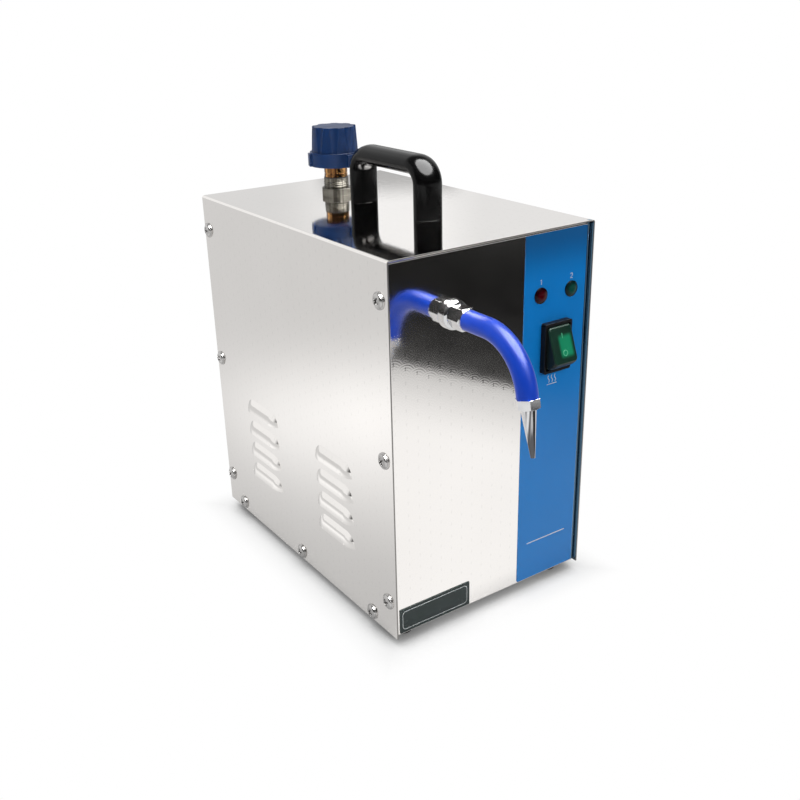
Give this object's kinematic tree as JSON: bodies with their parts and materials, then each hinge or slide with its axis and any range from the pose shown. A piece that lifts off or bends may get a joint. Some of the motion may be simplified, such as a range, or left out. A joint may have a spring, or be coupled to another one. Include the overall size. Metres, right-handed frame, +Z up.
{
  "type": "jewelry steam cleaner",
  "caption": "Upright bench steam cleaner with a polished folded-steel casing, a sleeved bent steam spout, a rocker switch, a bridge handle and a screw-on safety filler cap over a small boiler.",
  "frame": {"origin": "middle of the machine's own bounding box at bench height, under the feet", "axes": "+X to the right-hand side seen from the front, -Y out of the front panel where the spout is, +Z up"},
  "size_m": [0.198, 0.4192, 0.3655],
  "materials": {
    "polished_sheet": "mirror-polished stainless sheet with a faint orange peel",
    "screw_steel": "bright nickel-plated pan-head screws with a cross recess",
    "foot_rubber": "plain black rubber",
    "zinc_steel": "zinc-plated steel",
    "handle_black": "glossy black moulded plastic",
    "film_blue": "blue printed film, satin gloss",
    "plate_slate": "dark slate plate with a thin white rounded border line",
    "lens_red": "dark red translucent lens",
    "lens_green": "dark green translucent lens",
    "switch_black": "black nylon frame",
    "rocker_green": "green translucent rocker, lit, with I and O marks",
    "nickel": "nickel-plated brass, bright",
    "brass_bright": "polished brass",
    "seal_rubber": "black fluorine rubber",
    "cap_blue": "blue moulded nylon, satin",
    "spring_steel": "spring steel",
    "tank_steel": "welded stainless steel, satin",
    "glass_felt": "off-white glass-fibre felt",
    "gasket_fibre": "compressed fibre gasket",
    "element_sheath": "dark heater sheath",
    "cutout_grey": "plain aluminium can",
    "gauge_steel": "yellow-zinc steel can",
    "pipe_steel": "drawn stainless tube",
    "coil_black": "black encapsulated coil",
    "chrome_bright": "chrome-plated brass",
    "silicone_blue": "blue silicone sleeve, satin",
    "lever_red": "red vinyl-dipped steel lever",
    "inlet_black": "black thermoplastic",
    "block_cream": "cream thermoplastic"
  },
  "bodies": {
    "casing": {"cover": "polished_sheet", "chassis": "polished_sheet", "cover_screws": "screw_steel", "feet": "foot_rubber", "foot_screws": "zinc_steel", "handle": "handle_black", "handle_screws": "zinc_steel", "panel_overlay": "film_blue", "name_plate": "plate_slate", "ready_lamp": "lens_red", "heating_lamp": "lens_green", "lamp_nuts": "switch_black", "switch_housing": "switch_black", "filler_neck": "nickel", "filler_locknut": "nickel", "boiler_tank": "tank_steel", "tank_jacket": "glass_felt", "jacket_bands": "zinc_steel", "tank_stand": "zinc_steel", "stand_screws": "zinc_steel", "heater_gasket": "gasket_fibre", "heater_plug": "brass_bright", "heater_element": "element_sheath", "thermal_cutout": "cutout_grey", "pressure_switch": "gauge_steel", "steam_pipe": "pipe_steel", "outlet_pipe": "pipe_steel", "valve_block": "brass_bright", "valve_guide": "tank_steel", "valve_coil": "coil_black", "coil_nut": "nickel", "valve_spring": "spring_steel", "bulkhead_fitting": "chrome_bright", "bulkhead_nut": "nickel", "spout_nut": "chrome_bright", "sleeve_ferrule": "chrome_bright", "spout_pipe": "pipe_steel", "spout_sleeve": "silicone_blue", "nozzle_nut": "chrome_bright", "nozzle_tip": "chrome_bright", "drain_pipe": "pipe_steel", "drain_valve": "nickel", "drain_nut": "nickel", "power_inlet": "inlet_black", "socket_pins": "nickel", "inlet_screws": "zinc_steel", "fuse_holder": "inlet_black", "pedal_socket": "chrome_bright", "rear_nuts": "nickel", "terminal_block": "block_cream"},
    "rocker": {"rocker": "rocker_green"},
    "cap_ring": {"cap_seal": "seal_rubber"},
    "cap": {"cap_knob": "cap_blue", "cap_insert": "brass_bright", "relief_spring": "spring_steel"},
    "relief": {"relief_plug": "brass_bright"},
    "plunger": {"valve_plunger": "tank_steel"},
    "drain_handle": {"drain_ball": "chrome_bright", "drain_lever": "lever_red"},
    "fuse_carrier": {"fuse_cap": "inlet_black"}
  },
  "joints": [
    {"name": "rocker_tilt", "type": "hinge", "parent": "casing", "child": "rocker", "pos_m": [0.06, -0.12179, 0.2145], "axis": [1, 0, 0], "range_deg": [0, 40]},
    {"name": "cap_lift", "type": "slide", "parent": "casing", "child": "cap_ring", "axis": [0, 0, 1], "range_m": [0, 0.00803]},
    {"name": "cap_turn", "type": "hinge", "parent": "cap_ring", "child": "cap", "pos_m": [0, 0.09461, 0.3223], "axis": [0, 0, 1], "range_deg": [0, 2160]},
    {"name": "relief_lift", "type": "slide", "parent": "cap", "child": "relief", "axis": [0, 0, 1], "range_m": [0, 0.0015], "stiffness_N_per_m": 1200, "springref_m": -0.0075, "deforming": ["relief_spring"]},
    {"name": "plunger_lift", "type": "slide", "parent": "casing", "child": "plunger", "axis": [0, 0, 1], "range_m": [0, 0.0025], "stiffness_N_per_m": 300, "springref_m": -0.003, "deforming": ["valve_spring"]},
    {"name": "drain_turn", "type": "hinge", "parent": "casing", "child": "drain_handle", "pos_m": [-0.035, 0.18061, 0.036], "axis": [0, 0, 1], "range_deg": [0, 90]},
    {"name": "fuse_turn", "type": "hinge", "parent": "casing", "child": "fuse_carrier", "pos_m": [0.058, 0.16361, 0.08], "axis": [0, 1, 0], "range_deg": [0, 90]}
  ],
  "couplings": [
    {"joint": "cap_lift", "follows": "cap_turn", "m_per_rad": 0.00021279}
  ]
}
